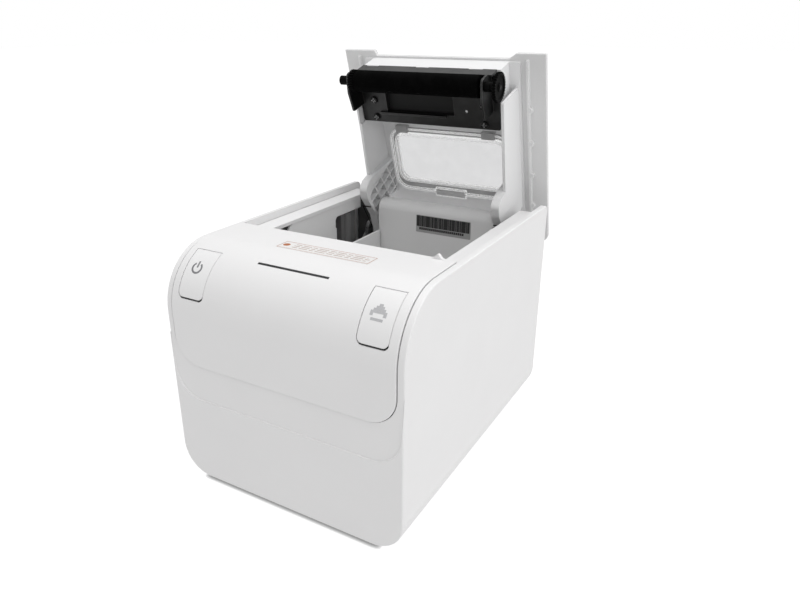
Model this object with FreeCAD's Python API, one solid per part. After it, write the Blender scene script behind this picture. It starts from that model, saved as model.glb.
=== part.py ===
"""Receipt printer with its lid open, built as separate sub-parts in millimetres.

The parts are drawn in a drawing frame: X to the right, Y from the front face to the
rear, Z up from the underside of the case, with the lid closed. Lid parts are then
swung open about the hinge pins, and every part is moved so that the origin lies
under the middle of the whole printer, at the level of its rubber feet.
"""
import FreeCAD, Part
import math
import os

V = FreeCAD.Vector

# ---- driving dimensions -------------------------------------------------------------
WIDTH = 145.0
DEPTH = 190.0
HEIGHT = 135.0
FOOT_HEIGHT = 1.5

WALL = 2.5
BOTTOM_RADIUS = 18.0        # lower corners of the case, seen from the front
FRONT_RADIUS = 34.0         # the curve from the front face to the top
REAR_RADIUS = 4.0
RIM_SET_BACK = 0.6          # how far the case rim lies below the cover's surface
RIM_WIDTH = 3.5
GAP = 0.6                   # parting gap at the front cover's sides
BOTTOM_GAP = 0.2            # parting gap under the front cover's lower edge
BAND_BOTTOM = 51.0          # lower edge of the set-back band across the front
COVER_BOTTOM = 71.5         # lower edge of the front cover
COVER_CORNER_RADIUS = 16.0
COVER_REAR = 60.5           # where the front cover ends and the lid begins
LEDGE_TOP = 130.0           # ledge that the lid's wings lie over
LEDGE_INNER = 56.5

HINGE_Y = 181.0
HINGE_Z = 102.8
OPEN_ANGLE = 72.6           # the lid stands open this far in the rest pose
LID_FRONT = 61.5
LID_REAR = 189.5
LID_HALF_WIDTH = 68.5
LID_THICKNESS = 3.0
FRAME_THICKNESS = 1.8
ARM_INNER = 46.5
ARM_OUTER = 52.0
ARM_WALL_INNER = 50.2       # the thin wall in front of each arm
LEFT_ARM_SHIFT = 3.0        # the left arm stands this much nearer the middle
WINDOW = (-39.0, 42.5, 117.2, 153.5)        # x from, x to, y from, y to
RIB_BUMPS = (95.5, 117.5, 139.6, 161.8)

PLATEN_Y = 69.1
PLATEN_Z = 100.5
PLATEN_RADIUS = 6.5
PLATEN_HALF_LENGTH = 41.0
SHAFT_RADIUS = 2.0
SHAFT_END_RADIUS = 1.3      # right-hand end of the shaft, inside the gear
BUSH_RADIUS = 2.8
BUSH_NECK_RADIUS = 2.6
HEAD_FACE = PLATEN_Y - PLATEN_RADIUS - 0.4
BRACKET_BOTTOM = 110.0      # underside of the platen bracket's main plate
BRACKET_SHEET = 1.2
BRACKET_HALF_WIDTH = 48.0
BRACKET_REAR = 99.8
BRACKET_SLOT = (-29.0, 18.0, 79.0, 92.5)    # x from, x to, y from, y to
BRACKET_LIP = (-34.0, 13.0)                 # x from, x to
PEG_PLACE = (26.2, 89.2)

BUTTON_INNER = 46.9
BUTTON_OUTER = 63.5
BUTTON_BOTTOM = 110.7
BUTTON_TOP_ANGLE = 64.0     # degrees round the front curve, from the horizontal
BUTTON_GAP = 0.4
BUTTON_HOLE_RADIUS = 28.0   # how deep the button's hole goes, from the curve's centre
BUTTON_THICKNESS = 2.2
LIGHT_ANGLE = 62.0
LIGHT_HALF_LENGTH = 21.7
LIGHT_HALF_WIDTH = 0.7

PAPER_CENTRE_Y = 124.5
BAY_HALF_LENGTH = 42.5
BAY_FLOOR = 28.5
BAY_LEFT = -57.0
BAY_RIGHT = 45.0
BAY_WALL = 1.5
BAY_RIGHT_WALL = 1.0        # thinner, so that the lid's right arm passes beside it
DIVIDER_LEFT = -39.5
DIVIDER_RIGHT = -38.0
DIVIDER_TOP = 107.5

GEAR_MODULE = 0.5
PLATEN_TEETH = 32
END_WHEEL_TEETH = 25
IDLER_TEETH = 48
PINION_TEETH = 14
TOOTH_HEIGHT = 0.9          # above the pitch circle, in modules
TOOTH_DEPTH = 1.1           # below the pitch circle, in modules
GEAR_INNER_FACE = 47.6
GEAR_OUTER_FACE = 52.6
PLATEN_GEAR_FACES = (50.8, 52.8)
PLATEN_TO_IDLER = 21.2      # the closed platen gear stops 0.3 short of the idler's teeth
PLATEN_TO_IDLER_ANGLE = 205.0
IDLER_TO_PINION = 15.9
IDLER_TO_PINION_ANGLE = 200.0

SIDE_PLATE_LEFT = (-48.6, -47.4)
SIDE_PLATE_RIGHT = (44.2, 45.4)
SIDE_PLATE_TOP = 104.0
LATCH_Y = 63.6
LATCH_Z = 76.0
LATCH_RELEASE_ANGLE = 10.0  # the hooks lean forward of the bushes by this much at rest

CASE_SCREW_PLACES = [(x, y) for x in (-46, 46) for y in (40, 150)]
BRACKET_SCREW_PLACES = [(x, y) for x in (-37.7, 37.7) for y in (85.2, 96.6)]

FLANGE_TOP = 4.5            # top of the bottom tray's flange
CASE_SCREW_SEAT = 2.6
BOARD_BOTTOM = 10.0
BOARD_TOP = 11.6
SOCKET_FRONT = 172.0
SOCKET_REAR = 189.2
POWER_X = -38.0
POWER_Z = 19.5
DRAWER_SIZE = (-26, -13, 12.2, 25)      # x from, x to, z from, z to
USB_SIZE = (-6, 6, 12.2, 23)
NETWORK_SIZE = (12, 28, 12.2, 26)

HALF = WIDTH / 2
REAR_INSIDE = DEPTH - WALL
SIDE_INSIDE = HALF - WALL
BUTTON_CENTRE = (BUTTON_INNER + BUTTON_OUTER) / 2
SWITCH_Z = 114.5
CURVE_Y = FRONT_RADIUS                   # centre of the front curve
CURVE_Z = HEIGHT - FRONT_RADIUS
RIM_INNER = HALF - RIM_WIDTH
COVER_SIDE = RIM_INNER - GAP
LID_UNDERSIDE = HEIGHT - LID_THICKNESS
FRAME_UNDERSIDE = LID_UNDERSIDE - FRAME_THICKNESS


# ---- drawing helpers ----------------------------------------------------------------
def rounded_edges(points, place):
    """Edges of a closed outline. A point is (a, b) or (a, b, corner radius)."""
    corners = []
    count = len(points)
    for index, point in enumerate(points):
        here = V(point[0], point[1], 0)
        radius = point[2] if len(point) > 2 else 0
        if not radius:
            corners.append((here, None, here))
            continue
        before = points[index - 1]
        after = points[(index + 1) % count]
        back = (V(before[0], before[1], 0) - here).normalize()
        ahead = (V(after[0], after[1], 0) - here).normalize()
        half_turn = back.getAngle(ahead) / 2
        middle = (back + ahead).normalize()
        centre = here + middle * (radius / math.sin(half_turn))
        tangent = radius / math.tan(half_turn)
        corners.append((here + back * tangent, centre - middle * radius, here + ahead * tangent))
    edges = []
    for index, (start, middle, end) in enumerate(corners):
        if middle is not None:
            edges.append(Part.Arc(place(start), place(middle), place(end)).toShape())
        following = corners[(index + 1) % count][0]
        if end.distanceToPoint(following) > 1e-6:
            edges.append(Part.LineSegment(place(end), place(following)).toShape())
    return edges


def wire(points, place):
    return Part.Wire(Part.__sortEdges__(rounded_edges(points, place)))


def prism_x(points, x0, x1):
    """Solid with an outline in (y, z), between two x positions."""
    outline = wire(points, lambda p: V(x0, p.x, p.y))
    return Part.Face(outline).extrude(V(x1 - x0, 0, 0))


def prism_y(points, y0, y1):
    """Solid with an outline in (x, z), between two y positions."""
    outline = wire(points, lambda p: V(p.x, y0, p.y))
    return Part.Face(outline).extrude(V(0, y1 - y0, 0))


def prism_z(points, z0, z1):
    """Solid with an outline in (x, y), between two z positions."""
    outline = wire(points, lambda p: V(p.x, p.y, z0))
    return Part.Face(outline).extrude(V(0, 0, z1 - z0))


def box(x0, x1, y0, y1, z0, z1):
    return Part.makeBox(x1 - x0, y1 - y0, z1 - z0, V(x0, y0, z0))


def rod_x(y, z, radius, x0, x1):
    return Part.makeCylinder(radius, x1 - x0, V(x0, y, z), V(1, 0, 0))


def rod_y(x, z, radius, y0, y1):
    return Part.makeCylinder(radius, y1 - y0, V(x, y0, z), V(0, 1, 0))


def rod_z(x, y, radius, z0, z1):
    return Part.makeCylinder(radius, z1 - z0, V(x, y, z0), V(0, 0, 1))


def rectangle(x0, x1, y0, y1, radius=0):
    return [(x0, y0, radius), (x1, y0, radius), (x1, y1, radius), (x0, y1, radius)]


def join(shapes):
    result = shapes[0]
    for shape in shapes[1:]:
        result = result.fuse(shape)
    return result.removeSplitter()


def mirrored(shape):
    return shape.mirror(V(0, 0, 0), V(1, 0, 0))


def both_sides(shape):
    """The shape and its mirror image, as two separate solids."""
    return Part.makeCompound([shape, mirrored(shape)])


def left_hinge_side(shape):
    """Mirror image of a right-hand hinge part, at the left arm's place."""
    left = mirrored(shape)
    left.translate(V(LEFT_ARM_SHIFT, 0, 0))
    return left


def edges_where(shape, test):
    """Edges whose middle point passes the test."""
    chosen = []
    for edge in shape.Edges:
        middle = edge.valueAt((edge.FirstParameter + edge.LastParameter) / 2)
        if test(middle):
            chosen.append(edge)
    return chosen


def rounded(shape, radius, test):
    return shape.makeFillet(radius, edges_where(shape, test))


# ---- case ---------------------------------------------------------------------------
def side_outline(inset, rear=DEPTH, bottom=-5.0):
    """The case seen from the side, moved inwards by the inset at its front and top."""
    return [(inset, bottom), (rear, bottom), (rear, HEIGHT - inset, REAR_RADIUS),
            (inset, HEIGHT - inset, FRONT_RADIUS - inset)]


def front_outline(inset):
    """The case seen from the front, moved inwards by the inset."""
    side = HALF - inset
    radius = BOTTOM_RADIUS - inset
    return [(-side, inset, radius), (side, inset, radius), (side, 160), (-side, 160)]


def cover_outline(clearance, top=160.0):
    """The front cover's outline seen from the front, grown by the clearance."""
    side = COVER_SIDE + clearance
    low = COVER_BOTTOM - clearance * BOTTOM_GAP / GAP
    radius = COVER_CORNER_RADIUS + clearance
    return [(-side, low, radius), (side, low, radius), (side, top), (-side, top)]


def case_block():
    """The full outside of the case, with the set-back rim and a softened outer edge."""
    crease = 0.8
    block = prism_y(front_outline(0), -1, DEPTH + 1)
    block = block.common(prism_x(side_outline(RIM_SET_BACK), -80, 80))
    block = rounded(block, crease, lambda p: abs(abs(p.x) - HALF) < 0.01
                    and p.z > BOTTOM_RADIUS + 1)
    return block


def lower_front():
    """The lower front face, which stands forward of the band above it."""
    face = prism_y(front_outline(0)[:2] + [(HALF, 88), (-HALF, 88)], 0, 4)
    face = rounded(face, 0.8, lambda p: p.y < 0.01 and p.z < 87.9)
    side = HALF - 1.5
    wires = []
    for depth, grow in ((-0.3, 0.8), (RIM_SET_BACK, 0.0), (4.5, 0.0)):
        reach = side + grow
        low = BAND_BOTTOM - grow
        band = [(-reach, 100), (-reach - 1.6, 90), (-reach, 68), (-reach, low, 16.8 + grow),
                (reach, low, 16.8 + grow), (reach, 68), (reach + 1.6, 90), (reach, 100)]
        wires.append(wire(band, lambda p, y=depth: V(p.x, y, p.y)))
    return face.cut(Part.makeLoft(wires, True, True))


CONNECTOR_OPENING = rectangle(-50, 50, 8, 32, 2)


def outer_case():
    case = join([case_block(), lower_front()])
    front_inside = RIM_SET_BACK + WALL
    roof = HEIGHT - 6.6
    cavity = prism_y(front_outline(WALL), front_inside, REAR_INSIDE)
    cavity = cavity.common(prism_x(
        [(front_inside, -5), (REAR_INSIDE, -5), (REAR_INSIDE, roof),
         (front_inside, roof, FRONT_RADIUS - 4)], -80, 80))
    top_opening = prism_y(cover_outline(GAP), -2, REAR_INSIDE)
    rear_cutout = box(-RIM_INNER, RIM_INNER, 186, 195, 125, 160)
    arm_slot = box(45, 54, 186, 195, 121, 160)
    connector_hole = prism_y(CONNECTOR_OPENING, 186, 195)
    base_hole = prism_z(rectangle(-52, 52, 8, 182, 6), -5, 6)
    for tool in (cavity, top_opening, rear_cutout, arm_slot, left_hinge_side(arm_slot),
                 connector_hole, base_hole):
        case = case.cut(tool)
    return case


def base_plate():
    """Bottom tray: a plate in the case's bottom opening, with a flange above it."""
    plate = prism_z(rectangle(-51.7, 51.7, 8.3, 181.7, 5.7), 0.4, WALL)
    flange = prism_z(rectangle(-54, 54, 5, 185, 6), WALL, FLANGE_TOP)
    pillars = [rod_z(x, y, 3.5, FLANGE_TOP, BOARD_BOTTOM) for x in (-38, 38) for y in (22, 162)]
    tray = join([plate, flange] + pillars)
    for x, y in CASE_SCREW_PLACES:
        tray = tray.cut(rod_z(x, y, 3.2, -1, CASE_SCREW_SEAT))
        tray = tray.cut(rod_z(x, y, 1.6, -1, FLANGE_TOP + 1))
    return tray


def rubber_feet():
    feet = []
    for x in (-42, 42):
        for y in (18, 172):
            foot = rod_z(x, y, 6, -FOOT_HEIGHT, 0.4)
            feet.append(rounded(foot, 0.5, lambda p: p.z < -FOOT_HEIGHT + 0.01))
    return Part.makeCompound(feet)


HEAD_HEIGHT_RATIO = 0.55


def pan_screw(x, y, z, radius, length):
    """Screw with a cross recess in its head, which faces down."""
    height = radius * HEAD_HEIGHT_RATIO
    head = rounded(rod_z(x, y, radius, z, z + height), height * 0.45, lambda p: p.z < z + 0.01)
    slot = join([box(x - radius * 0.6, x + radius * 0.6, y - 0.3, y + 0.3, z - 1, z + 0.7),
                 box(x - 0.3, x + 0.3, y - radius * 0.6, y + radius * 0.6, z - 1, z + 0.7)])
    return join([head, rod_z(x, y, radius * 0.5, z + height, z + height + length)]).cut(slot)


def case_screws():
    head_radius = 3.0
    low = CASE_SCREW_SEAT - head_radius * HEAD_HEIGHT_RATIO
    return Part.makeCompound([pan_screw(x, y, low, head_radius, 4.0)
                              for x, y in CASE_SCREW_PLACES])


# ---- front cover, buttons and light -------------------------------------------------
def curve_point(angle, radius):
    """Point in (y, z) on a circle about the centre of the front curve."""
    turn = math.radians(angle)
    return CURVE_Y - radius * math.cos(turn), CURVE_Z + radius * math.sin(turn)


def button_wedge(bottom, top_angle, inner_radius):
    """Side outline that takes in the stretch of the front curve a button covers."""
    return [(-3, bottom), (CURVE_Y - inner_radius, bottom), curve_point(top_angle, inner_radius),
            curve_point(top_angle, FRONT_RADIUS + 6), (-3, HEIGHT + 5)]


def button_region(clearance, inner_radius):
    """Space of the right-hand button, grown by the clearance."""
    bottom = BUTTON_BOTTOM - 2.5 * clearance
    front = [(BUTTON_INNER - clearance, bottom, 3 + clearance),
             (BUTTON_OUTER + clearance, bottom, 3 + clearance),
             (BUTTON_OUTER + clearance, 150), (BUTTON_INNER - clearance, 150)]
    top_angle = BUTTON_TOP_ANGLE + math.degrees(clearance / FRONT_RADIUS)
    wedge = prism_x(button_wedge(bottom, top_angle, inner_radius), 40, 70)
    return prism_y(front, -3, 30).common(wedge)


def light_bar_box(inner_radius, outer_radius):
    """Bar across the middle of the front curve, square to its surface."""
    bar = box(-LIGHT_HALF_LENGTH, LIGHT_HALF_LENGTH,
              CURVE_Y - outer_radius, CURVE_Y - inner_radius,
              CURVE_Z - LIGHT_HALF_WIDTH, CURVE_Z + LIGHT_HALF_WIDTH)
    bar.rotate(V(0, CURVE_Y, CURVE_Z), V(1, 0, 0), -LIGHT_ANGLE)
    return bar


def cover_skin():
    skin = prism_x(side_outline(0, rear=COVER_REAR)[:2]
                   + [(COVER_REAR, HEIGHT), (0, HEIGHT, FRONT_RADIUS)], -80, 80)
    skin = skin.common(prism_y(cover_outline(0), -2, 70))

    def on_outer_edge(p):
        on_curve = (p.z > CURVE_Z and 0.1 < p.y < CURVE_Y
                    and math.hypot(p.y - CURVE_Y, p.z - CURVE_Z) > FRONT_RADIUS - 0.01)
        at_side = abs(abs(p.x) - COVER_SIDE) < 0.01
        outside = abs(p.y) < 0.01 or abs(p.z - HEIGHT) < 0.01 or (at_side and on_curve)
        return outside and (at_side or p.z < CURVE_Z - 1 or p.y > COVER_REAR - 1)

    skin = rounded(skin, 0.5, on_outer_edge)
    inside = [(WALL, -10), (70, -10), (70, HEIGHT - WALL),
              (WALL, HEIGHT - WALL, FRONT_RADIUS - WALL)]
    return skin.cut(prism_x(inside, -80, 80))


def cover_ledge():
    """Right-hand rail beside the lid opening, with the lugs that hold the cover in the case."""
    low = LEDGE_TOP - 2.2
    rail = box(LEDGE_INNER, COVER_SIDE, COVER_REAR - 4, 184, low, LEDGE_TOP)
    step = box(LEDGE_INNER, COVER_SIDE, COVER_REAR - 2.2, COVER_REAR, LEDGE_TOP - 1, HEIGHT - 2)
    rear_lug = box(64, SIDE_INSIDE, 172, 180, 124, low + 0.1)
    front_lug = box(64, SIDE_INSIDE, RIM_SET_BACK + WALL, 12, 84, 88)
    front_lug_root = box(64, COVER_SIDE - 1, WALL - 0.1, 12, 84, 88)
    return join([rail, step, rear_lug]), join([front_lug, front_lug_root])


def top_cover():
    rear_lip = box(-LEDGE_INNER, LEDGE_INNER, COVER_REAR - 2.2, COVER_REAR, 124, HEIGHT - 2)
    peak = prism_y([(53.5, HEIGHT - 0.5), (64, HEIGHT - 0.5), (61.2, HEIGHT + 0.4),
                    (59, HEIGHT + 2.8, 0.6), (56.6, HEIGHT + 0.4)], COVER_REAR - 2.6,
                   COVER_REAR - 0.3)
    parts = [cover_skin(), rear_lip, peak]
    for piece in cover_ledge():
        parts += [piece, mirrored(piece)]
    hole = button_region(BUTTON_GAP, BUTTON_HOLE_RADIUS)
    return join(parts).cut(hole).cut(mirrored(hole)).cut(light_bar_box(BUTTON_HOLE_RADIUS, 40))


def feed_button():
    """Skin piece that follows the front curve, with a post that reaches the switch."""
    inner = BUTTON_THICKNESS
    skin = prism_x([(0, 90), (45, 90), (45, HEIGHT), (0, HEIGHT, FRONT_RADIUS)], 40, 70)
    skin = skin.cut(prism_x([(inner, 80), (50, 80), (50, HEIGHT - inner),
                             (inner, HEIGHT - inner, FRONT_RADIUS - inner)], 39, 71))
    skin = skin.common(button_region(0, BUTTON_HOLE_RADIUS))
    post = rod_y(BUTTON_CENTRE, SWITCH_Z, 2.0, 4.0, 8.0)
    return join([skin, post])


def power_button():
    return mirrored(feed_button())


def status_light_bar():
    return light_bar_box(30.6, FRONT_RADIUS - 0.1)


def button_board():
    board = box(-64, 64, 12.6, 14.2, 95, 119.5)
    standoffs = [rod_y(x, 98, 2.5, WALL, 12.6) for x in (-36, 36)]
    return join([board] + standoffs)


def button_switches():
    body = box(BUTTON_CENTRE - 3, BUTTON_CENTRE + 3, 10.2, 12.6, SWITCH_Z - 3, SWITCH_Z + 3)
    plunger = rod_y(BUTTON_CENTRE, SWITCH_Z, 1.5, 9.2, 10.2)
    return both_sides(join([body, plunger]))


def notice_label():
    """Blank notice label on top of the cover."""
    return prism_z(rectangle(-23.5, 33.5, 34.2, 44.8, 0.8), HEIGHT, HEIGHT + 0.12)


# ---- paper bay ----------------------------------------------------------------------
def bay_outline(grow, top_front, top_rear):
    front = PAPER_CENTRE_Y - BAY_HALF_LENGTH - grow
    rear = PAPER_CENTRE_Y + BAY_HALF_LENGTH + grow
    low = BAY_FLOOR - grow
    radius = BAY_HALF_LENGTH + grow - 0.1
    return [(front, top_front), (front, low, radius), (rear, low, radius), (rear, top_rear)]


def paper_bay():
    rear_face = PAPER_CENTRE_Y + BAY_HALF_LENGTH
    left = BAY_LEFT - BAY_WALL
    right = BAY_RIGHT + BAY_RIGHT_WALL
    trough = prism_x(bay_outline(2, 90, 124), left, right)
    trough = trough.cut(prism_x(bay_outline(0, 140, 140), BAY_LEFT, BAY_RIGHT))
    hood = prism_x([(rear_face, 116), (rear_face, 129, 6), (177, 129), (177, 126.8),
                    (rear_face + 2, 126.8), (rear_face + 2, 116)], DIVIDER_LEFT, right)
    bay = join([trough, hood])
    above_wall = box(BAY_LEFT, right + 1, 70, PAPER_CENTRE_Y + 10, 90, 140)
    behind_left = box(left - 1, DIVIDER_LEFT, 140, 180, 62, 140)
    right_front = prism_x([(60, 93), (106, 93), (110, 124), (180, 124), (180, 150), (60, 150)],
                          BAY_RIGHT - 0.5, right + 1)
    bay = bay.cut(above_wall.common(box(BAY_LEFT, BAY_RIGHT, 0, 200, 0, 200)))
    bay = bay.cut(behind_left).cut(right_front)
    left_wall = prism_x([(88, 62), (171, 62), (171, 127.6), (88, 127.6, 5)], left, BAY_LEFT)
    window = prism_x([(139, 94, 3), (180, 94), (180, 120.6), (139, 120.6, 3)],
                     left - 1, BAY_LEFT + 1)
    return join([bay, left_wall.cut(window)] + bay_legs())


def bay_legs():
    """Legs under the bay, which stand on the bottom tray and pass through the main board."""
    return [box(x, x + 6, 121, 128, FLANGE_TOP, BAY_FLOOR - 1) for x in (-20, 34)]


def paper_divider():
    plate = prism_x([(84, 20), (166, 20), (166, DIVIDER_TOP), (110, DIVIDER_TOP, 4),
                     (102, 92), (84, 88)], DIVIDER_LEFT, DIVIDER_RIGHT)
    return plate.common(prism_x(bay_outline(-0.1, 140, 140), -60, 60))


def serial_label():
    wall = PAPER_CENTRE_Y + BAY_HALF_LENGTH
    return prism_y(rectangle(-10, 30, 110.6, 122.4, 0.6), wall - 0.12, wall)


def paper_sensor():
    """Paper-end sensor module behind the window in the bay's left wall."""
    body = box(-68, -60, 150, 168, 88, 124)
    eye = rod_z(-60.5, 157, 3.2, 95, 119.5)
    return join([body, eye])


# ---- hinge --------------------------------------------------------------------------
def right_hinge_bracket():
    inner = box(43, 46, 173, 187.5, 84, 109.5)
    outer = box(55, 57.5, 173, 187.5, 84, 109.5)
    web = box(43, 57.5, 184.5, 187.5, 80, 95)
    bracket = join([inner, outer, web])
    bracket = rounded(bracket, 5, lambda p: abs(p.y - 173) < 0.01 and abs(p.z - 109.5) < 0.01)
    return bracket.cut(rod_x(HINGE_Y, HINGE_Z, 2.5, 40, 60))


def left_hinge_bracket():
    return left_hinge_side(right_hinge_bracket())


def hinge_pins():
    pin = rod_x(HINGE_Y, HINGE_Z, 2.5, 43, 57.5)
    return Part.makeCompound([pin, left_hinge_side(pin)])


# ---- print mechanism ----------------------------------------------------------------
def gear(teeth, x0, x1, y, z, tooth_angle=0.0):
    """Spur gear about an X axis, with a straight-sided tooth at the given angle."""
    tip = GEAR_MODULE * (teeth / 2 + TOOTH_HEIGHT)
    root = GEAR_MODULE * (teeth / 2 - TOOTH_DEPTH)
    step = 2 * math.pi / teeth
    outline = []
    for tooth in range(teeth):
        middle = tooth * step + math.radians(tooth_angle)
        for offset, radius in ((-0.27, root), (-0.12, tip), (0.12, tip), (0.27, root)):
            angle = middle + offset * step
            outline.append((y + radius * math.cos(angle), z + radius * math.sin(angle)))
    return prism_x(outline, x0, x1)


def idler_centre():
    turn = math.radians(PLATEN_TO_IDLER_ANGLE)
    return PLATEN_Y + PLATEN_TO_IDLER * math.cos(turn), PLATEN_Z + PLATEN_TO_IDLER * math.sin(turn)


def pinion_centre():
    y, z = idler_centre()
    turn = math.radians(IDLER_TO_PINION_ANGLE)
    return y + IDLER_TO_PINION * math.cos(turn), z + IDLER_TO_PINION * math.sin(turn)


def frame_legs():
    return [box(x, x + 6, y, y + 6, FLANGE_TOP, 60) for x in (-46, 38) for y in (28, 70)]


def mechanism_frame():
    """Steel frame: two side plates that take the platen's ends, on a floor plate."""
    outline = [(26, 60), (79, 60), (79, SIDE_PLATE_TOP, 2), (26, SIDE_PLATE_TOP, 6)]
    reach = BUSH_RADIUS + 0.3
    round_end = reach - 0.1
    notch = [(PLATEN_Y - reach, PLATEN_Z - reach, round_end),
             (PLATEN_Y + reach, PLATEN_Z - reach, round_end),
             (PLATEN_Y + reach, 110), (PLATEN_Y - reach, 110)]
    parts = [box(SIDE_PLATE_LEFT[0], SIDE_PLATE_RIGHT[1], 26, 79, 60, 61.2)]
    for x0, x1 in (SIDE_PLATE_LEFT, SIDE_PLATE_RIGHT):
        plate = prism_x(outline, x0, x1).cut(prism_x(notch, x0 - 1, x1 + 1))
        parts.append(plate.cut(rod_x(LATCH_Y, LATCH_Z, 2.05, x0 - 1, x1 + 1)))
    frame = join(parts + frame_legs())
    frame = frame.cut(rod_x(*idler_centre(), 1.5, 40, 50))
    return frame.cut(rod_x(*pinion_centre(), 4.0, 40, 50))


def print_head():
    return box(-41.2, 41.2, HEAD_FACE - 1.4, HEAD_FACE, 90, 103.5)


def head_heatsink():
    plate = box(-42, 42, HEAD_FACE - 5, HEAD_FACE - 1.4, 84, 103.5)
    fins = [box(x - 0.8, x + 0.8, HEAD_FACE - 8.1, HEAD_FACE - 5, 86, 102)
            for x in range(-38, 23, 6)]
    pivot = rod_x(HEAD_FACE - 3.2, 87, 1.2, SIDE_PLATE_LEFT[1], SIDE_PLATE_RIGHT[0])
    return join([plate, pivot] + fins)


def spiral(x, y, z, direction, radius, wire_radius, pitch, height):
    """Helical spring from its start point, along the given direction."""
    helix = Part.makeHelix(pitch, height, radius)
    section = Part.Wire(Part.makeCircle(wire_radius, V(radius, 0, 0), V(0, 1, 0)))
    coil = Part.Wire(helix).makePipeShell([section], True, True)
    turn = FreeCAD.Rotation(V(0, 0, 1), direction)
    coil.Placement = FreeCAD.Placement(V(x, y, z), turn)
    return coil


def head_springs():
    """Compression springs that push the print head against the platen."""
    start = HEAD_FACE - 13.2
    springs = [spiral(x, start, 94, V(0, 1, 0), 2.4, 0.4, 1.3, 4.6) for x in (-30, -6)]
    return Part.makeCompound(springs)


def spring_plate():
    """Crosspiece on the left side plate that the head springs push against."""
    return box(SIDE_PLATE_LEFT[1], 0, HEAD_FACE - 16.6, HEAD_FACE - 13.6, 88, 103)


def feed_motor():
    y, z = pinion_centre()
    can = rod_x(y, z, 12.5, 24.2, SIDE_PLATE_RIGHT[0])
    can = rounded(can, 0.8, lambda p: p.x < 24.3)
    return can.cut(rod_x(y, z, 1.05, 34, 50))


def motor_pinion():
    y, z = pinion_centre()
    shaft = rod_x(y, z, 1.0, 34.5, GEAR_INNER_FACE + 0.1)
    gap_faces_idler = IDLER_TO_PINION_ANGLE + 180 + 180 / PINION_TEETH
    wheel = gear(PINION_TEETH, GEAR_INNER_FACE, GEAR_OUTER_FACE, y, z, gap_faces_idler)
    return join([shaft, wheel])


def idler_axle():
    y, z = idler_centre()
    shaft = rod_x(y, z, 1.5, SIDE_PLATE_RIGHT[0], 53.4)
    return join([shaft, rod_x(y, z, 2.4, 53.0, 53.8)])


def idler_gear():
    y, z = idler_centre()
    wheel = gear(IDLER_TEETH, GEAR_INNER_FACE, GEAR_OUTER_FACE, y, z, IDLER_TO_PINION_ANGLE)
    dish = rod_x(y, z, 10, GEAR_INNER_FACE + 3.5, 60).cut(rod_x(y, z, 4, 40, 60))
    return wheel.cut(dish).cut(rod_x(y, z, 1.55, 40, 60))


def latch():
    """Two hooks on one rod, which hold the platen's bushes down when turned to the rear."""
    left_end, right_end = -50.4, 47.2
    thickness = 1.5
    grip = PLATEN_Z + BUSH_RADIUS + 0.3
    hook = [(LATCH_Y - 4, LATCH_Z - 4, 3), (LATCH_Y + 4, LATCH_Z - 4, 3), (LATCH_Y + 3, 90),
            (LATCH_Y + 0.6, 97), (LATCH_Y + 0.6, grip), (LATCH_Y + 4.6, grip),
            (LATCH_Y + 3, grip + 2.6, 1), (LATCH_Y - 3.5, grip + 2.6, 2), (LATCH_Y - 4.4, 92)]
    parts = [rod_x(LATCH_Y, LATCH_Z, 2.0, left_end, right_end),
             prism_x(hook, left_end, left_end + thickness),
             prism_x(hook, right_end - thickness, right_end)]
    shape = join(parts)
    shape.rotate(V(0, LATCH_Y, LATCH_Z), V(1, 0, 0), LATCH_RELEASE_ANGLE)
    return shape


def cutter_housing():
    housing = box(-45, 45, 26, 58, 110.5, 122)
    slot = box(-43.4, 43.4, 28, 60, 115.6, 117.8)
    left_foot = box(SIDE_PLATE_LEFT[0], -45, 30, 54, SIDE_PLATE_TOP, 112)
    right_foot = box(42.4, SIDE_PLATE_RIGHT[1], 30, 54, SIDE_PLATE_TOP, 112)
    ribs = [box(x - 1, x + 1, 30, 54, 122, 123.6) for x in range(-36, 37, 12)]
    return join([housing, left_foot, right_foot] + ribs).cut(slot)


def cutter_blade():
    """Sliding blade with a shallow notch in the middle of its cutting edge."""
    edge = [(-43, 29), (43, 29), (43, 59.5), (24, 59.5), (0, 57), (-24, 59.5), (-43, 59.5)]
    return prism_z(edge, 116.1, 117.3)


def cutter_motor():
    can = rod_x(41, 97.5, 10, -40, -12)
    can = can.cut(box(-50, 0, HEAD_FACE - 16.8, 60, 80, 105))
    block = box(-36, -16, 34, HEAD_FACE - 16.8, 97.5, 110.5)
    return join([can, block, rod_x(41, 97.5, 3, -42, -40)])


# ---- electronics --------------------------------------------------------------------
def main_board():
    board = prism_z(rectangle(-48, 48, 16, 176, 2), BOARD_BOTTOM, BOARD_TOP)
    for leg in frame_legs() + bay_legs():
        room = leg.BoundBox
        room.enlarge(0.3)
        board = board.cut(box(room.XMin, room.XMax, room.YMin, room.YMax, 0, 20))
    return board


def board_components():
    """Chips, a transformer, capacitors and a connector on the main board."""
    chips = [box(-12, 8, 60, 80, BOARD_TOP, 13.6), box(-38, -26, 90, 100, BOARD_TOP, 13.0)]
    transformer = box(16, 28, 112, 126, BOARD_TOP, 18)
    connector = box(-8, 26, 30, 36, BOARD_TOP, 19)
    capacitors = [rod_z(x, y, radius, BOARD_TOP, top)
                  for x, y, radius, top in ((34, 92, 5, 23), (32, 78, 4, 20), (-34, 136, 5, 23))]
    return Part.makeCompound(chips + [transformer, connector] + capacitors)


def connector_panel():
    """Rear panel, with an opening round each socket."""
    panel = prism_y(CONNECTOR_OPENING, 188.0, 189.0)
    panel = panel.cut(rod_y(POWER_X, POWER_Z, 6.7, 150, 200))
    for x0, x1, z0, z1 in (DRAWER_SIZE, USB_SIZE, NETWORK_SIZE):
        panel = panel.cut(box(x0 - 0.2, x1 + 0.2, 150, 200, z0 - 0.2, z1 + 0.2))
    return panel


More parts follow.
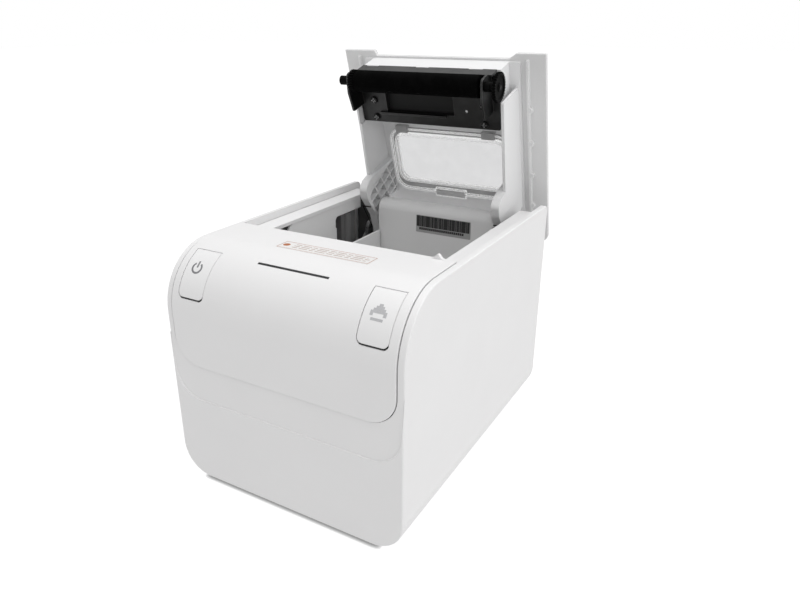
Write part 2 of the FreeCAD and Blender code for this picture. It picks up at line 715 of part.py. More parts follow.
def hollow_socket(size, wall, tongue_half_width, tongue_thickness):
    """Square socket, open to the rear, with the tongue that carries its contacts."""
    x0, x1, z0, z1 = size
    middle = (x0 + x1) / 2
    body = box(x0, x1, SOCKET_FRONT, SOCKET_REAR, z0, z1)
    foot = box(x0 + 1, x1 - 1, SOCKET_FRONT, 180, BOARD_TOP, z0 + 0.1)
    cavity = box(x0 + wall, x1 - wall, SOCKET_FRONT + 2, SOCKET_REAR + 1, z0 + wall, z1 - wall)
    tongue = box(middle - tongue_half_width, middle + tongue_half_width, SOCKET_FRONT + 1, 178,
                 z0 + wall - 0.1, z0 + wall + tongue_thickness)
    return join([body.cut(cavity), foot, tongue])


def power_socket():
    body = rod_y(POWER_X, POWER_Z, 6.5, SOCKET_FRONT, SOCKET_REAR)
    body = body.cut(rod_y(POWER_X, POWER_Z, 5.3, SOCKET_FRONT + 3, SOCKET_REAR + 1))
    block = box(POWER_X - 7, POWER_X + 7, SOCKET_FRONT, SOCKET_FRONT + 2.9, BOARD_TOP, 16)
    pins = [rod_y(POWER_X + dx, POWER_Z + dz, 0.6, SOCKET_FRONT + 2, SOCKET_REAR - 9)
            for dx, dz in ((-2.6, 0), (2.6, 0), (0, 2.6))]
    return join([body, block] + pins)


def drawer_socket():
    return hollow_socket(DRAWER_SIZE, 1.6, 3.5, 1.0)


def usb_socket():
    return hollow_socket(USB_SIZE, 0.9, 2.6, 1.9)


def network_socket():
    return hollow_socket(NETWORK_SIZE, 1.5, 5.0, 1.1)


# ---- lid ----------------------------------------------------------------------------
def window_outline(grow):
    """Window opening seen from above, grown all round."""
    left, right, front, rear = WINDOW
    return rectangle(left - grow, right + grow, front - grow, rear + grow, 7 + grow)


def flange_outline(grow):
    left, right, front, rear = WINDOW
    return rectangle(left - 3.6 - grow, right + 3.6 + grow, front - 4.6 - grow,
                     rear + 6.5 + grow, 10 + grow)


def half_disc(x, y, radius, z0, z1):
    """Upright disc, cut flat on the side that faces the middle of the lid."""
    outer_side = box(x - 1, x + radius + 1, y - radius - 1, y + radius + 1, z0 - 1, z1 + 1)
    return rod_z(x, y, radius, z0, z1).common(outer_side)


def lid_cover():
    """Outer lid: a plate with the paper slot's recess in front and a lip at its rear."""
    recess = LID_FRONT + 3.2
    outline = [(-LID_HALF_WIDTH, LID_FRONT), (-46, LID_FRONT), (-44.5, recess),
               (46, recess), (50.8, LID_FRONT), (LID_HALF_WIDTH, LID_FRONT),
               (LID_HALF_WIDTH, LID_REAR, 5), (-LID_HALF_WIDTH, LID_REAR, 5)]
    plate = prism_z(outline, LID_UNDERSIDE, HEIGHT)
    plate = rounded(plate, 0.8, lambda p: abs(p.z - HEIGHT) < 0.01)
    plate = plate.cut(prism_z(window_outline(0.3), LID_UNDERSIDE - 1, HEIGHT + 1))
    lip = box(-60, 60, LID_REAR - 2.7, LID_REAR - 0.1, 127, LID_UNDERSIDE + 0.5)
    ribs = [box(56.8, 58.2, 65, 184, LID_UNDERSIDE - 1.6, LID_UNDERSIDE + 0.2)]
    ribs += [half_disc(58.2, y, 1.9, LID_UNDERSIDE - 1.5, LID_UNDERSIDE + 0.2)
             for y in RIB_BUMPS]
    return join([plate, lip] + ribs + [mirrored(rib) for rib in ribs])


def lid_frame():
    """Inner lid frame: a plate round the window and a box that carries the platen."""
    plate = prism_z(rectangle(-53.2, 53.2, 66, 184, 1), FRAME_UNDERSIDE, LID_UNDERSIDE)
    plate = plate.cut(prism_z(flange_outline(0.3), 120, 140))
    top_of_bracket = BRACKET_BOTTOM + BRACKET_SHEET
    inner = ARM_INNER - 2
    walls = box(-ARM_INNER, ARM_INNER, 66, 100, top_of_bracket, LID_UNDERSIDE)
    walls = walls.cut(box(-inner, inner, 68, 98, 100, FRAME_UNDERSIDE))
    walls = walls.cut(box(-60, 60, 60, 69, 100, 118))
    bosses = [rod_z(*PEG_PLACE, 0.75, BRACKET_BOTTOM + 0.4, FRAME_UNDERSIDE + 0.2)]
    for x, y in BRACKET_SCREW_PLACES:
        boss = rod_z(x, y, 3.2, top_of_bracket, FRAME_UNDERSIDE + 0.2)
        bosses.append(boss.cut(rod_z(x, y, 1.25, 100, 120)))
    return join([plate, walls] + bosses)


ARM_OUTLINE = [(136.5, FRAME_UNDERSIDE), (136.2, 104, 6), (137.2, 95.5, 4), (141, 90.0, 4),
               (148, 90.0, 5), (156, 93.3), (165, 96.8), (176, 97.4), (183, 97.0, 3),
               (186.6, 101, 3), (185, 107.5, 3), (176, 109.8, 4), (165.5, 109.8, 4),
               (163.5, 120), (163, FRAME_UNDERSIDE)]
ARM_POCKET = [(138.5, 129.6), (138.7, 120), (140.6, 110), (143.2, 99.5), (148.5, 93.4),
              (156, 95.2), (165, 98.8), (174, 99.8), (174, 107.4), (163.4, 107.6),
              (161.3, 119.5), (161, 129.6)]
LATTICE_CENTRE = (148.0, 113.0)
LATTICE_RIBS = [(15, 7.0), (-69, 9.6)]      # lean of a set of ribs, and its pitch


def right_hinge_arm():
    """Curved arm from the lid to its hinge pin, with a diamond lattice on its inner face."""
    arm = prism_x(ARM_OUTLINE, ARM_INNER, ARM_OUTER)
    pocket = prism_x(ARM_POCKET, ARM_INNER - 1, ARM_OUTER - 1.6)
    for lean, pitch in LATTICE_RIBS:
        for step in range(-5, 6):
            shift = step * pitch
            rib = box(ARM_INNER - 2, ARM_OUTER, -60, 60, shift - 0.5, shift + 0.5)
            rib.rotate(V(0, 0, 0), V(1, 0, 0), 90 + lean)
            rib.translate(V(0, *LATTICE_CENTRE))
            pocket = pocket.cut(rib)
    arm = arm.cut(pocket)
    wall = prism_x([(81, FRAME_UNDERSIDE), (81, 106, 1), (139, 102), (141, FRAME_UNDERSIDE)],
                   ARM_WALL_INNER, ARM_OUTER)
    knuckle = rod_x(HINGE_Y, HINGE_Z, 6.2, ARM_INNER, ARM_OUTER)
    return join([arm, wall, knuckle]).cut(rod_x(HINGE_Y, HINGE_Z, 2.55, 40, 60))


def left_hinge_arm():
    """Left arm, whose thin wall leaves room for the end of the platen bracket."""
    room = box(-BRACKET_HALF_WIDTH - 0.3, 0, 60, BRACKET_REAR + 0.3, 100,
               BRACKET_BOTTOM + BRACKET_SHEET + 0.3)
    return left_hinge_side(right_hinge_arm()).cut(room)


def lid_spring(side):
    """Torsion spring round the hinge pin, whose leg lies under the arm's lower edge."""
    radius = 0.35
    coil = spiral(side * (52.45 + radius), HINGE_Y, HINGE_Z, V(side, 0, 0), 3.3, radius, 0.75, 1.5)
    start = V(side * 53.2, HINGE_Y - 1.5, HINGE_Z - 3.3)
    knee = V(side * 53.2, 155.5, 92.2)
    tip = V(side * 46.6, 155.5, 92.2)
    legs = [Part.makeCylinder(radius, (end - begin).Length, begin, end - begin)
            for begin, end in ((start, knee), (knee, tip))]
    return join([coil, Part.makeSphere(radius, knee)] + legs)


def left_lid_spring():
    spring = lid_spring(-1)
    spring.translate(V(LEFT_ARM_SHIFT, 0, 0))
    return spring


def right_lid_spring():
    return lid_spring(1)


def lid_window():
    pane = prism_z(window_outline(0), LID_UNDERSIDE - 0.2, HEIGHT - 0.8)
    flange = prism_z(flange_outline(0), FRAME_UNDERSIDE, LID_UNDERSIDE)
    low = FRAME_UNDERSIDE - 1.8
    outer_ridge = prism_z(flange_outline(0), low, FRAME_UNDERSIDE)
    outer_ridge = outer_ridge.cut(prism_z(flange_outline(-1.4), low - 1, FRAME_UNDERSIDE))
    inner_ridge = prism_z(window_outline(0), low, FRAME_UNDERSIDE)
    inner_ridge = inner_ridge.cut(prism_z(window_outline(-1.4), low - 1, FRAME_UNDERSIDE))
    tab = box(-11.5, 11.5, 156.5, 162.3, FRAME_UNDERSIDE - 1.8, FRAME_UNDERSIDE)
    window = join([pane, flange, outer_ridge, inner_ridge, tab])
    return window.cut(prism_z(window_outline(-1.4), low - 1, LID_UNDERSIDE - 0.3))


def window_clips():
    """Two clip tabs that hold the window's front edge."""
    low = FRAME_UNDERSIDE - 3.4
    post = box(27, 35.7, 110.6, 112.2, low, FRAME_UNDERSIDE)
    tongue = box(27, 35.7, 110.6, 115.2, low, low + 1.2)
    return both_sides(join([post, tongue]))


def platen_bracket():
    """Sheet-metal bracket: main plate, front flange and two cheeks for the platen."""
    low, high = BRACKET_BOTTOM, BRACKET_BOTTOM + BRACKET_SHEET
    half = BRACKET_HALF_WIDTH
    plate = prism_z(rectangle(-half, half, 66, BRACKET_REAR, 1.5), low, high)
    slot_left, slot_right, slot_front, slot_rear = BRACKET_SLOT
    plate = plate.cut(box(slot_left, slot_right, slot_front, slot_rear, low - 1, high + 1))
    plate = plate.cut(rod_z(*PEG_PLACE, 1.0, low - 1, high + 1))
    for x, y in BRACKET_SCREW_PLACES:
        plate = plate.cut(rod_z(x, y, 1.25, low - 1, high + 1))
    flange = box(-45, 45, 66, 66 + BRACKET_SHEET, low, 115.5)
    lip = box(*BRACKET_LIP, slot_rear, slot_rear + BRACKET_SHEET, low - 1.8, high)
    cheek = [(66.6, high), (66.6, 106.6), (63.8, 105.6), (63.8, 97, 3), (75, 95.2, 3),
             (88, 97.2, 1), (88, high)]
    cheeks = [prism_x(cheek, -47.0, -45.8), prism_x(cheek, 42.6, 43.8)]
    bracket = join([plate, flange, lip] + cheeks)
    return bracket.cut(rod_x(PLATEN_Y, PLATEN_Z, BUSH_NECK_RADIUS, -60, 60))


def bracket_tray():
    """Shallow dark tray behind the slot in the bracket."""
    wall = 0.8
    left, right, front, rear = BRACKET_SLOT
    floor = BRACKET_BOTTOM + BRACKET_SHEET
    block = box(left - wall, right + wall, front - wall, rear + wall, floor, floor + 3.4)
    return block.cut(box(left, right, front, rear, floor - 1, floor + 3.4 - wall))


def fixed_blade():
    """Fixed cutter blade on the bracket's flange, with three notches in its edge."""
    blade = box(-45.2, 45.2, 64.8, 66, 107, 115.5)
    for x in (-38, -3, 32):
        blade = blade.cut(box(x - 4.5, x + 4.5, 64, 67, 113.9, 116))
    return blade


def bracket_screws():
    head_radius = 2.4
    low = BRACKET_BOTTOM - head_radius * HEAD_HEIGHT_RATIO
    return Part.makeCompound([pan_screw(x, y, low, head_radius, 6.0)
                              for x, y in BRACKET_SCREW_PLACES])


def platen_bushes():
    """Flanged bushes in the bracket's cheeks, which also seat in the frame's notches."""
    parts = []
    for x0, x1 in ((-53.3, -47.0), (43.8, 47.3)):
        ring = rod_x(PLATEN_Y, PLATEN_Z, BUSH_RADIUS, x0, x1)
        neck0, neck1 = (x1, x1 + 1.2) if x0 < 0 else (x0 - 1.2, x0)
        ring = join([ring, rod_x(PLATEN_Y, PLATEN_Z, BUSH_NECK_RADIUS, neck0, neck1)])
        parts.append(ring.cut(rod_x(PLATEN_Y, PLATEN_Z, SHAFT_RADIUS + 0.05, -60, 60)))
    return Part.makeCompound(parts)


def platen_shaft():
    """Shaft with a thinner right-hand end, which carries the gear."""
    shaft = rod_x(PLATEN_Y, PLATEN_Z, SHAFT_RADIUS, -53.7, 50.6)
    shaft = shaft.makeChamfer(0.4, edges_where(shaft, lambda p: p.x < -53.6))
    return join([shaft, rod_x(PLATEN_Y, PLATEN_Z, SHAFT_END_RADIUS, 50.5, 53.1)])


def platen_roller():
    sleeve = rod_x(PLATEN_Y, PLATEN_Z, PLATEN_RADIUS, -PLATEN_HALF_LENGTH, PLATEN_HALF_LENGTH)
    return sleeve.cut(rod_x(PLATEN_Y, PLATEN_Z, SHAFT_RADIUS, -60, 60))


def platen_gear():
    """Thin gear with a long hub, and a shallow dish round the shaft's end."""
    inner_face, outer_face = PLATEN_GEAR_FACES
    wheel = gear(PLATEN_TEETH, inner_face, outer_face, PLATEN_Y, PLATEN_Z)
    dish = rod_x(PLATEN_Y, PLATEN_Z, 6.4, outer_face - 0.5, 60)
    dish = dish.cut(rod_x(PLATEN_Y, PLATEN_Z, 2.6, 40, 60))
    hub = rod_x(PLATEN_Y, PLATEN_Z, 2.9, GEAR_INNER_FACE, inner_face + 0.1)
    wheel = join([wheel.cut(dish), hub])
    wheel = wheel.cut(rod_x(PLATEN_Y, PLATEN_Z, SHAFT_RADIUS, 40, 50.6))
    return wheel.cut(rod_x(PLATEN_Y, PLATEN_Z, SHAFT_END_RADIUS, 40, 60))


def platen_end_wheel():
    """Toothed end wheel on the platen's left, between the roller and the cheek."""
    wheel = gear(END_WHEEL_TEETH, -45.2, -41.6, PLATEN_Y, PLATEN_Z)
    return wheel.cut(rod_x(PLATEN_Y, PLATEN_Z, SHAFT_RADIUS, -60, 60))


CHASSIS_PARTS = [outer_case, base_plate, rubber_feet, case_screws, top_cover, status_light_bar,
                 notice_label, button_board, button_switches, paper_bay, paper_divider,
                 serial_label, paper_sensor, left_hinge_bracket, right_hinge_bracket, hinge_pins,
                 mechanism_frame, print_head, head_heatsink, head_springs, spring_plate,
                 feed_motor, idler_axle, cutter_housing, cutter_motor, main_board,
                 board_components, connector_panel, power_socket, drawer_socket, usb_socket,
                 network_socket]
MOVING_CHASSIS_PARTS = [feed_button, power_button, motor_pinion, idler_gear, latch, cutter_blade]
LID_PARTS = [lid_cover, lid_frame, left_hinge_arm, right_hinge_arm, left_lid_spring,
             right_lid_spring, lid_window, window_clips, platen_bracket, bracket_tray,
             fixed_blade, bracket_screws, platen_bushes, platen_shaft, platen_roller,
             platen_gear, platen_end_wheel]


def swung_open(shape):
    shape.rotate(V(0, HINGE_Y, HINGE_Z), V(1, 0, 0), -OPEN_ANGLE)
    return shape


def main():
    shapes = {part.__name__: part() for part in CHASSIS_PARTS + MOVING_CHASSIS_PARTS}
    shapes.update({part.__name__: swung_open(part()) for part in LID_PARTS})
    whole = Part.makeCompound(list(shapes.values())).optimalBoundingBox(False)
    shift = V(0, -(whole.YMin + whole.YMax) / 2, FOOT_HEIGHT)
    os.makedirs("parts", exist_ok=True)
    for name, shape in shapes.items():
        shape.translate(shift)
        shape.exportStep(f"parts/{name}.step")
        if not shape.isValid() or not shape.Solids:
            print("check", name)
    print("overall", round(whole.XLength, 2), round(whole.YLength, 2), round(whole.ZLength, 2))
    print("shift", round(shift.y, 3), shift.z)


main()
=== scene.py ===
"""Receipt printer with its lid open: materials, printed marks, light and camera.

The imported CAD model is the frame. Lengths here are metres unless a name or comment says otherwise.
"""
import math

import bmesh
import bpy
from mathutils import Matrix, Vector


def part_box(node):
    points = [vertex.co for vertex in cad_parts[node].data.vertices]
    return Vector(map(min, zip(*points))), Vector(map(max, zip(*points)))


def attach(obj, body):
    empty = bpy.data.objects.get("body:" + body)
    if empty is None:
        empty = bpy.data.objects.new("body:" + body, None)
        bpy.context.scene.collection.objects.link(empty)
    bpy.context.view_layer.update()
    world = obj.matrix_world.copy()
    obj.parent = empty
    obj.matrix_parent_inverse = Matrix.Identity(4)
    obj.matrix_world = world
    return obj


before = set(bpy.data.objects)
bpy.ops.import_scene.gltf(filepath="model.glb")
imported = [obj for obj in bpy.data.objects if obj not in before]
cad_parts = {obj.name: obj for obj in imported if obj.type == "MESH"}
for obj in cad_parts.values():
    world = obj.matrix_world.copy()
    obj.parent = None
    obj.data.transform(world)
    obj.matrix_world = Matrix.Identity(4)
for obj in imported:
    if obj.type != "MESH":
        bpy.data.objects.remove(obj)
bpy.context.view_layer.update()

MM = 0.001

# ---- camera -------------------------------------------------------------------------
CAMERA_PLACE = (0.19675, -0.33567, 0.24623)
CAMERA_AZIMUTH = 30.59       # degrees, as are the drop and the roll
CAMERA_DROP = 22.52
CAMERA_ROLL = -0.22
CAMERA_LENS_MM = 30.558
CAMERA_SHIFT_X = 0.0223

# ---- light --------------------------------------------------------------------------
HORIZON_LIGHT = 0.42
ZENITH_LIGHT = 0.80
FLOOR_GLOW = 0.95            # how bright the floor looks
FLOOR_BOUNCE = 0.78          # how much light it throws on to the printer
CONTACT_SHADOW = 2.2 * MM    # how far the painted shadow line under the printer reaches
PAINTED_EDGE_GLOW = 0.35             # painted glow along the clear window's edges
OVERHEAD_WATTS = 8.0
SIDE_WATTS = 3.6

# ---- surface texture, painted highlights and glow -----------------------------------
MOULD_GRAIN = 0.35 * MM
MOULD_CLOUD = 30 * MM
# width of the painted highlights along the lid cover's edges
LID_HIGHLIGHT_WIDTH = 1.1 * MM
# width of the painted glow along the clear window's edges
WINDOW_GLOW_WIDTH = 1.3 * MM
ROLLING_SCALE = (180, 2160, 2160)     # noise features per metre along x, y and z
GRINDING_SCALE = (4000, 300, 300)
TRACK_SCALE = 420.0

# ---- places on the printer, read from the CAD nodes ---------------------------------
COVER_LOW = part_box("top_cover")[0]
NOTICE_LOW, NOTICE_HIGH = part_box("notice_label")
SERIAL_LOW, SERIAL_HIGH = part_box("serial_label")
FRONT_RADIUS = 34 * MM
FRONT_Y = COVER_LOW[1]
TOP_Z = NOTICE_LOW[2]
INNER_WALL_FOOT = 60 * MM    # the inner rear wall is seen only above this height
LID_OPEN_DEGREES = 72.6
PANE_THICKNESS = 2.5 * MM

# ---- printed marks, gap linings and painted gap shade -------------------------------
INK_THICKNESS = 0.03 * MM
INK_UNDERSIDE = 0.005 * MM
ICON_ANGLE = 44.5            # degrees round the front curve, from the horizontal
POWER_ICON_X = -56.3 * MM
POWER_RING_RADIUS = 2.9 * MM
POWER_RING_WIDTH = 1.05 * MM
POWER_RING_ARC = (125, 415)  # degrees, anticlockwise from the right
POWER_BAR_FOOT = 0.2 * MM
POWER_BAR_PART = 0.95 * MM
POWER_BAR_HALF_WIDTH = 0.5 * MM
FEED_ICON_X = 54.6 * MM
FEED_STEP_HEIGHT = 1.2 * MM
FEED_STEPS_FOOT = -1.8 * MM
FEED_STEP_HALF_WIDTHS = (4.3, 3.2, 2.1, 1.0)       # mm
FEED_FOOT_CENTRES = (-3.5, 3.5)                    # mm
FEED_FOOT_HALF_WIDTH = 0.8                         # mm
FEED_FEET_BOTTOM = -3.2 * MM
FEED_BAR_HALF_WIDTH = 3.2 * MM
FEED_BAR_BOTTOM = -5.4 * MM
FEED_BAR_TOP = -4.1 * MM
BUTTON_GAP = 0.4 * MM
LINING_WIDTH = 0.28 * MM
SIDE_LINING_FOOT = 1.5 * MM       # height above the button's lower edge
SIDE_LINING_DEPTHS = (-0.12 * MM, -0.8 * MM)       # top and underside, under the curve
TOP_LINING_DEPTHS = (-0.45 * MM, -0.9 * MM)
# depths of the dark strip of painted shade in the bottom gap
BOTTOM_SHADE_DEPTHS = (-0.35 * MM, -0.9 * MM)
NOTICE_MARGIN = 0.5 * MM
NOTICE_LINE = 0.3 * MM
NOTICE_MARK_RADIUS = 2.0 * MM
NOTICE_ROWS = ((2.4, 4.0), (0.2, 2.0), (-2.0, 3.0))    # height and gap at the end, mm
NOTICE_MARK_INSET = 3.2 * MM
NOTICE_DASHES = (3.4, 5.2, 2.6, 6.1)               # lengths in turn, mm
NOTICE_DASH_HALF_HEIGHT = 0.4                      # mm
NOTICE_DASH_GAP = 1.1 * MM
NOTICE_DASHES_INSET = 8 * MM
STRIPES_TOP = 0.3 * MM                             # below the label's upper edge
STRIPES_BOTTOM = 7.8 * MM
STRIPE_WIDTHS = (2.4, 0.9, 1.8, 1.1, 3.2, 0.8, 1.6)    # in turn, mm
STRIPE_GAPS = (0.2, 0.14, 0.2, 0.14)               # in turn, mm
TICK_COUNT = 22
TICK_PITCH = 1.5 * MM
TICK_WIDTH = 1.25 * MM
TICKS_INSET = 2 * MM
TICKS_TOP = 0.5 * MM                               # below the stripes
TICKS_BOTTOM = 2.2 * MM


# ---- shader helpers -----------------------------------------------------------------
def add(tree, kind, inputs=None, **attributes):
    """Add a shader node; an input is a value or another node's output socket."""
    made = tree.nodes.new(kind)
    for name, value in attributes.items():
        setattr(made, name, value)
    for name, value in (inputs or {}).items():
        if isinstance(value, bpy.types.NodeSocket):
            tree.links.new(value, made.inputs[name])
        else:
            made.inputs[name].default_value = value
    return made


def new_material(name):
    """Material with only an output node, and its tree."""
    material = bpy.data.materials.new(name)
    material.use_nodes = True
    material.node_tree.nodes.clear()
    return material, material.node_tree


def output(tree, shader):
    """Make the shader the material's surface."""
    end = add(tree, "ShaderNodeOutputMaterial")
    tree.links.new(shader.outputs[0], end.inputs["Surface"])


def object_noise(tree, size, detail=2.0):
    """Noise over the object's own coordinates, with features of about the given size."""
    place = add(tree, "ShaderNodeTexCoord")
    noise = add(tree, "ShaderNodeTexNoise", {
        "Vector": place.outputs["Object"], "Scale": 1 / size, "Detail": detail})
    return noise.outputs["Fac"]


def spread(tree, value, low, high):
    """Map noise, which stays mostly between 0.3 and 0.7, to the given range."""
    mapped = add(tree, "ShaderNodeMapRange", {
        "Value": value, "From Min": 0.3, "From Max": 0.7, "To Min": low, "To Max": high})
    return mapped.outputs["Result"]


def blend_colours(tree, factor, first, second):
    """Mix two colours, each a triple or a colour socket."""
    mix = add(tree, "ShaderNodeMix", {"Factor": factor}, data_type="RGBA")
    for socket, colour in ((mix.inputs[6], first), (mix.inputs[7], second)):
        if isinstance(colour, bpy.types.NodeSocket):
            tree.links.new(colour, socket)
        else:
            socket.default_value = (*colour, 1)
    return mix.outputs[2]


def soft_edges(tree, radius):
    """Normal that rounds off the edges of a piece."""
    return add(tree, "ShaderNodeBevel", {"Radius": radius}, samples=4).outputs["Normal"]


def bump(tree, height, distance, normal=None):
    """Normal for a relief of the given depth, on top of another normal if one is given."""
    inputs = {"Height": height, "Distance": distance}
    if normal is not None:
        inputs["Normal"] = normal
    return add(tree, "ShaderNodeBump", inputs).outputs["Normal"]


def edge_mask(tree, radius, low, high):
    """One along the edges of a piece and zero on its flat faces."""
    face_normal = add(tree, "ShaderNodeNewGeometry").outputs["Normal"]
    product = add(tree, "ShaderNodeVectorMath", {
        0: soft_edges(tree, radius), 1: face_normal}, operation="DOT_PRODUCT")
    agreement = product.outputs["Value"]
    mask = add(tree, "ShaderNodeMapRange", {
        "Value": agreement, "From Min": low, "From Max": high, "To Min": 1.0, "To Max": 0.0})
    return mask.outputs["Result"]


# ---- materials ----------------------------------------------------------------------
def moulded_plastic(name, colour, roughness, depth=0.012 * MM, edge=0.3 * MM, specular=0.5,
                    highlight_colour=None):
    """Plastic with an eroded mould texture, faint cloudiness, soft edges, perhaps painted highlights
    along its edges.
    """
    material, tree = new_material(name)
    cloud = object_noise(tree, MOULD_CLOUD)
    grain_height = object_noise(tree, MOULD_GRAIN, detail=3.0)
    darker = [channel * 0.985 for channel in colour]
    face_colour = blend_colours(tree, spread(tree, cloud, 0, 1), darker, colour)
    if highlight_colour:
        # painted highlight: the colour turns paler along the edges
        painted_highlight = edge_mask(tree, LID_HIGHLIGHT_WIDTH, 0.86, 0.98)
        face_colour = blend_colours(tree, painted_highlight, face_colour, highlight_colour)
    rough = object_noise(tree, 6 * MM)
    shader = add(tree, "ShaderNodeBsdfPrincipled", {
        "Base Color": face_colour,
        "Roughness": spread(tree, rough, roughness - 0.03, roughness + 0.03),
        "Normal": bump(tree, grain_height, depth, normal=soft_edges(tree, edge)),
    })
    shader.inputs["Specular IOR Level"].default_value = specular
    output(tree, shader)
    return material


def rolled_steel(name, colour, roughness, wear_and_glint_colour=None, wear_and_glint_width=0.5 * MM):
    """Metal with fine rolling lines along X, and edges of another colour if one is given: rubbed
    wear on the dark sheet, a painted glint on the screws.
    """
    material, tree = new_material(name)
    place = add(tree, "ShaderNodeTexCoord")
    scaled = add(tree, "ShaderNodeMapping", {
        "Vector": place.outputs["Object"], "Scale": ROLLING_SCALE})
    lines = add(tree, "ShaderNodeTexNoise", {
        "Vector": scaled.outputs["Vector"], "Scale": 1.0, "Detail": 4.0}).outputs["Fac"]
    stain = object_noise(tree, 9 * MM)
    darker = [channel * 0.8 for channel in colour]
    face_colour = blend_colours(tree, spread(tree, stain, 0, 1), darker, colour)
    if wear_and_glint_colour:
        wear_and_glint = edge_mask(tree, wear_and_glint_width, 0.85, 0.99)
        face_colour = blend_colours(tree, wear_and_glint, face_colour, wear_and_glint_colour)
    shader = add(tree, "ShaderNodeBsdfPrincipled", {
        "Base Color": face_colour,
        "Roughness": spread(tree, lines, roughness - 0.08, roughness + 0.08),
        "Normal": bump(tree, lines, 0.006 * MM, normal=soft_edges(tree, 0.15 * MM)),
        "Metallic": 1.0,
    })
    output(tree, shader)
    return material


def ground_rubber(name, colour, roughness=0.75):
    """Rubber with the fine rings that grinding leaves round its axis."""
    material, tree = new_material(name)
    place = add(tree, "ShaderNodeTexCoord")
    scaled = add(tree, "ShaderNodeMapping", {
        "Vector": place.outputs["Object"], "Scale": GRINDING_SCALE})
    rings = add(tree, "ShaderNodeTexNoise", {
        "Vector": scaled.outputs["Vector"], "Scale": 1.0, "Detail": 3.0}).outputs["Fac"]
    dust = object_noise(tree, 5 * MM, detail=5.0)
    paler = [channel * 2.5 for channel in colour]
    shader = add(tree, "ShaderNodeBsdfPrincipled", {
        "Base Color": blend_colours(tree, spread(tree, dust, 0, 1), colour, paler),
        "Roughness": spread(tree, rings, roughness - 0.1, roughness + 0.1),
        "Normal": bump(tree, rings, 0.01 * MM),
    })
    shader.inputs["Specular IOR Level"].default_value = 0.02
    output(tree, shader)
    return material


def combine(tree, operation, first, second):
    """Result of a calculation on two values or sockets."""
    node = add(tree, "ShaderNodeMath", {0: first, 1: second}, operation=operation)
    return node.outputs["Value"]


def mix_shaders(tree, share, first, second):
    """Shader that is the first one, except for the given share of the second."""
    mix = add(tree, "ShaderNodeMixShader", {"Fac": share})
    tree.links.new(first.outputs[0], mix.inputs[1])
    tree.links.new(second.outputs[0], mix.inputs[2])
    return mix


def clear_plastic(name, tint, haze):
    """Clear sheet with a grey tint, a share of milky haze and edges that glow with painted light.

    Only the face that light enters by is tinted, and the sheet casts no shadow.
    """
    material, tree = new_material(name)
    smudge = object_noise(tree, 9 * MM, detail=4.0)
    greyer = [channel * 0.95 for channel in tint]
    leaving = add(tree, "ShaderNodeNewGeometry").outputs["Backfacing"]
    shadow = add(tree, "ShaderNodeLightPath").outputs["Is Shadow Ray"]
    unseen = combine(tree, "MAXIMUM", leaving, shadow)
    seen = combine(tree, "SUBTRACT", 1.0, unseen)
    face_tint = blend_colours(tree, spread(tree, smudge, 0, 1), greyer, tint)
    through = add(tree, "ShaderNodeBsdfTransparent", {
        "Color": blend_colours(tree, unseen, face_tint, (1, 1, 1))})
    surface = add(tree, "ShaderNodeBsdfPrincipled", {
        "Base Color": (0.95, 0.95, 0.95, 1), "Roughness": spread(tree, smudge, 0.08, 0.2)})
    mirror_share = add(tree, "ShaderNodeFresnel", {"IOR": 1.25}).outputs["Fac"]
    cloudy = combine(tree, "MAXIMUM", mirror_share, haze)
    sheet = mix_shaders(tree, combine(tree, "MULTIPLY", cloudy, seen), through, surface)
    # painted glow: a white, light-emitting surface along the sheet's edges
    painted_glow = add(tree, "ShaderNodeBsdfPrincipled", {
        "Base Color": (0.95, 0.95, 0.95, 1), "Roughness": 0.3,
        "Emission Color": (1, 1, 1, 1), "Emission Strength": PAINTED_EDGE_GLOW})
    glow_mask = edge_mask(tree, WINDOW_GLOW_WIDTH, 0.95, 0.995)
    glow_share = combine(tree, "MULTIPLY", glow_mask, seen)
    output(tree, mix_shaders(tree, glow_share, sheet, painted_glow))
    return material


def solder_mask(name, colour):
    """Circuit board: solder mask with paler tracks showing through."""
    material, tree = new_material(name)
    place = add(tree, "ShaderNodeTexCoord")
    tracks = add(tree, "ShaderNodeTexVoronoi", {
        "Vector": place.outputs["Object"], "Scale": TRACK_SCALE}, distance="CHEBYCHEV")
    line = add(tree, "ShaderNodeMapRange", {
        "Value": tracks.outputs["Distance"], "From Min": 0.38,
        "From Max": 0.42}).outputs["Result"]
    paler = [channel * 1.6 for channel in colour]
    shader = add(tree, "ShaderNodeBsdfPrincipled", {
        "Base Color": blend_colours(tree, line, colour, paler),
        "Roughness": 0.35, "Normal": bump(tree, line, 0.03 * MM)})
    output(tree, shader)
    return material


def ink(name, colour):
    """Printed ink, slightly uneven as screen printing is."""
    material, tree = new_material(name)
    speckle = object_noise(tree, 0.3 * MM, detail=4.0)
    paler = [min(1, channel * 1.25 + 0.02) for channel in colour]
    shader = add(tree, "ShaderNodeBsdfPrincipled", {
        "Base Color": blend_colours(tree, spread(tree, speckle, 0, 1), colour, paler),
        "Roughness": 0.55})
    output(tree, shader)
    return material


CASE_WHITE = moulded_plastic("case_white", (0.80, 0.796, 0.798), 0.5)
COVER_WHITE = moulded_plastic("cover_white", (0.80, 0.796, 0.798), 0.48)
